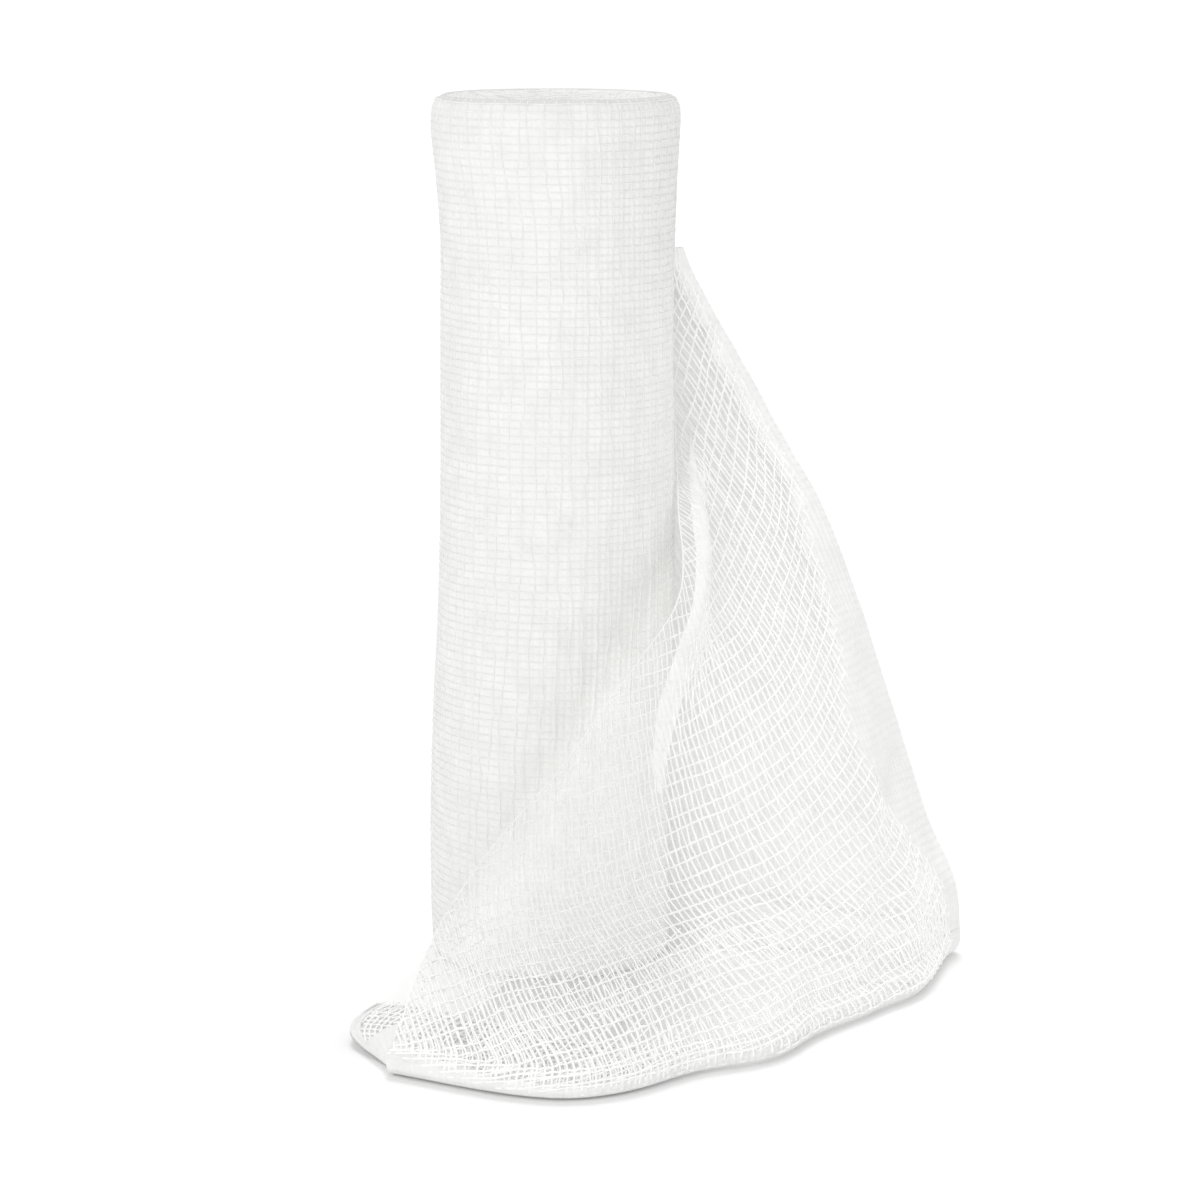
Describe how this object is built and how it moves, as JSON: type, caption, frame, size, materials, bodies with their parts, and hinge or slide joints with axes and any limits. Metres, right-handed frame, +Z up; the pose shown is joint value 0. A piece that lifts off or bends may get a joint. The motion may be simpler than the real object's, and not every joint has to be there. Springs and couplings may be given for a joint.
{
  "type": "gauze bandage roll",
  "caption": "Roll of open-weave cotton gauze bandage standing on its end, its loose end hanging down one side as a two-ply drape turned under on the floor.",
  "frame": {"origin": "middle of the wound roll's foot, on the surface that it stands on", "axes": "+Z up along the roll's length, -Y towards the front where the loose end crosses the roll, +X to the side where the loose end hangs"},
  "size_m": [0.1057, 0.1125, 0.1524],
  "materials": {
    "wound_gauze": "matt bleached cotton, close turns of open weave",
    "loose_gauze": "matt bleached cotton, open weave that the light comes through"
  },
  "bodies": {
    "root": {"wound_roll": "wound_gauze", "loose_end": "loose_gauze"}
  },
  "joints": []
}
